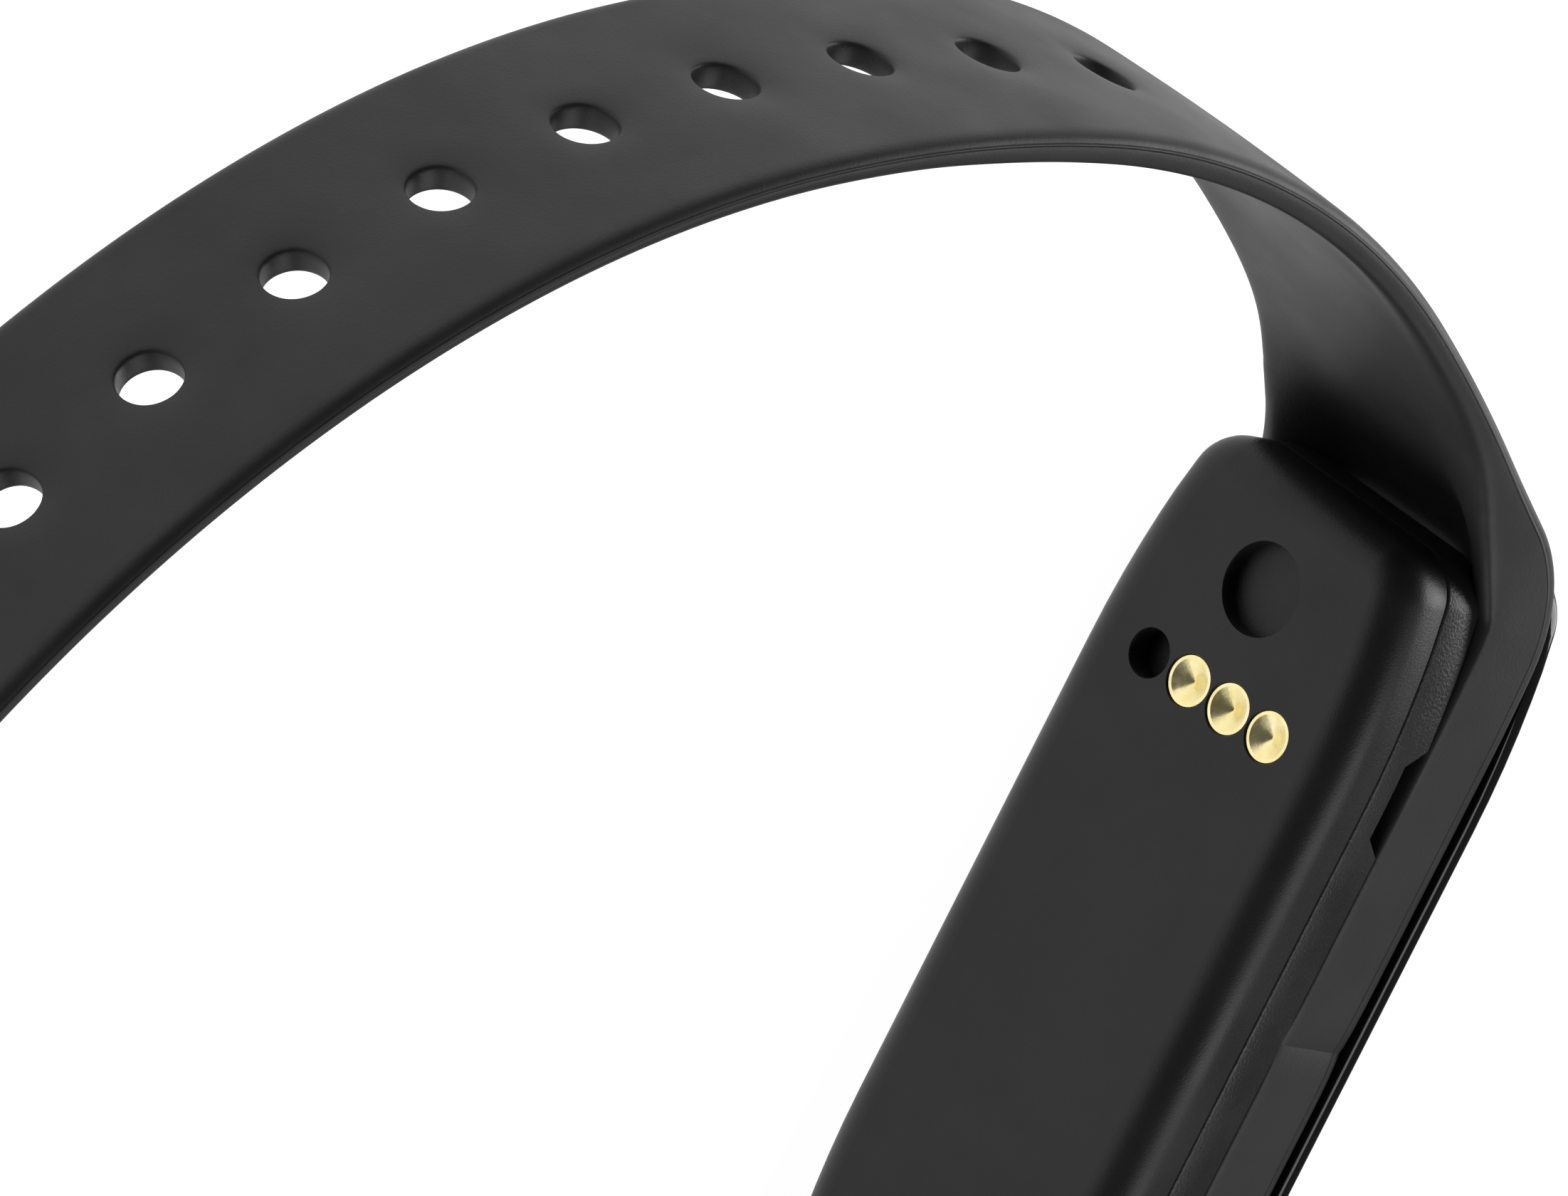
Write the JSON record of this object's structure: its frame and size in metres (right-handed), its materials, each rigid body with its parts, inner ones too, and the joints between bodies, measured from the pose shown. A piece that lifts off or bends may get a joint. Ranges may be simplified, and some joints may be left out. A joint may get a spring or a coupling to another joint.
{
  "type": "fitness tracker band",
  "caption": "Black elastomer fitness band with a rigid tracker module, gold charging contacts, punched strap and pin buckle.",
  "frame": {"origin": "middle of the module's skin-side face", "axes": "+X along the module towards the strap with holes, +Y out of the skin-side face towards the wrist, +Z across the band's width"},
  "size_m": [0.0842, 0.1047, 0.0186],
  "materials": {
    "band_elastomer": "soft-touch matte black elastomer",
    "cover_plastic": "fine satin black moulded plastic",
    "housing_plastic": "satin black moulded plastic",
    "lens_gloss": "polished gloss black",
    "adhesive_film": "black film",
    "seal_rubber": "matte",
    "contact_gold": "bright gold plating",
    "spring_copper": "bright",
    "board_laminate": "green solder mask",
    "screw_steel": "plain",
    "chip_resin": "moulded resin",
    "antenna_ceramic": "glazed",
    "battery_foil": "pouch foil",
    "foam_pad": "foam",
    "lead_red": "wire insulation",
    "lead_black": "wire insulation",
    "display_glass": "dark glass",
    "flex_film": "amber polyimide",
    "rotor_metal": "sintered",
    "buckle_steel": "satin dark steel"
  },
  "bodies": {
    "module_and_cradle": {"back_cover": "cover_plastic", "upper_housing": "housing_plastic", "front_lens": "lens_gloss", "band_cradle": "band_elastomer", "lens_adhesive": "adhesive_film", "housing_seal": "seal_rubber", "display_panel": "display_glass", "display_flex": "flex_film", "charging_contacts": "contact_gold", "contact_springs": "spring_copper", "main_board": "board_laminate", "board_screws": "screw_steel", "radio_chip": "chip_resin", "power_chip": "chip_resin", "motion_sensor": "chip_resin", "crystal": "screw_steel", "chip_antenna": "antenna_ceramic", "battery_cell": "battery_foil", "battery_pad": "foam_pad", "battery_circuit": "board_laminate", "battery_lead_positive": "lead_red", "battery_lead_negative": "lead_black", "motor_shaft": "screw_steel", "vibration_motor_case": "screw_steel"},
    "hole_strap": {"hole_strap": "band_elastomer"},
    "buckle_strap": {"buckle_strap": "band_elastomer", "spring_bar_tube": "screw_steel", "spring_bar_coil": "screw_steel"},
    "keeper": {"keeper_loop": "band_elastomer"},
    "buckle_frame": {"buckle_frame": "buckle_steel"},
    "buckle_tongue": {"buckle_tongue": "buckle_steel"},
    "pin_top": {"spring_bar_pin_top": "screw_steel"},
    "pin_bottom": {"spring_bar_pin_bottom": "screw_steel"},
    "vibration_rotor": {"vibration_rotor": "rotor_metal"}
  },
  "joints": [
    {"name": "hole_strap_bend", "type": "hinge", "parent": "module_and_cradle", "child": "hole_strap", "pos_m": [0.0298, 0.00092, 0], "axis": [0, 0, 1], "range_deg": [-30, 12], "stiffness_Nm_per_rad": 0.03},
    {"name": "buckle_strap_bend", "type": "hinge", "parent": "module_and_cradle", "child": "buckle_strap", "pos_m": [-0.0298, 0.00092, 0], "axis": [0, 0, -1], "range_deg": [-30, 10], "stiffness_Nm_per_rad": 0.03},
    {"name": "keeper_slide", "type": "hinge", "parent": "buckle_strap", "child": "keeper", "pos_m": [0.00963, 0.03058, 0], "axis": [0, 0, -1], "range_deg": [-12.03, 2.86]},
    {"name": "buckle_swing", "type": "hinge", "parent": "buckle_strap", "child": "buckle_frame", "pos_m": [-0.03717, 0.04758, 0], "axis": [0, 0, 1], "range_deg": [-75, 30]},
    {"name": "tongue_swing", "type": "hinge", "parent": "buckle_frame", "child": "buckle_tongue", "pos_m": [-0.03717, 0.04758, 0], "axis": [0, 0, 1], "range_deg": [0, 85]},
    {"name": "pin_top_press", "type": "slide", "parent": "buckle_strap", "child": "pin_top", "axis": [0, 0, -1], "range_m": [0, 0.0011], "stiffness_N_per_m": 400, "springref_m": -0.002, "deforming": ["spring_bar_coil"]},
    {"name": "pin_bottom_press", "type": "slide", "parent": "buckle_strap", "child": "pin_bottom", "axis": [0, 0, 1], "range_m": [0, 0.0011], "stiffness_N_per_m": 400, "springref_m": -0.002},
    {"name": "rotor_spin", "type": "hinge", "parent": "module_and_cradle", "child": "vibration_rotor", "pos_m": [0.014, -0.00715, 0], "axis": [0, 0, 1], "continuous": true}
  ]
}
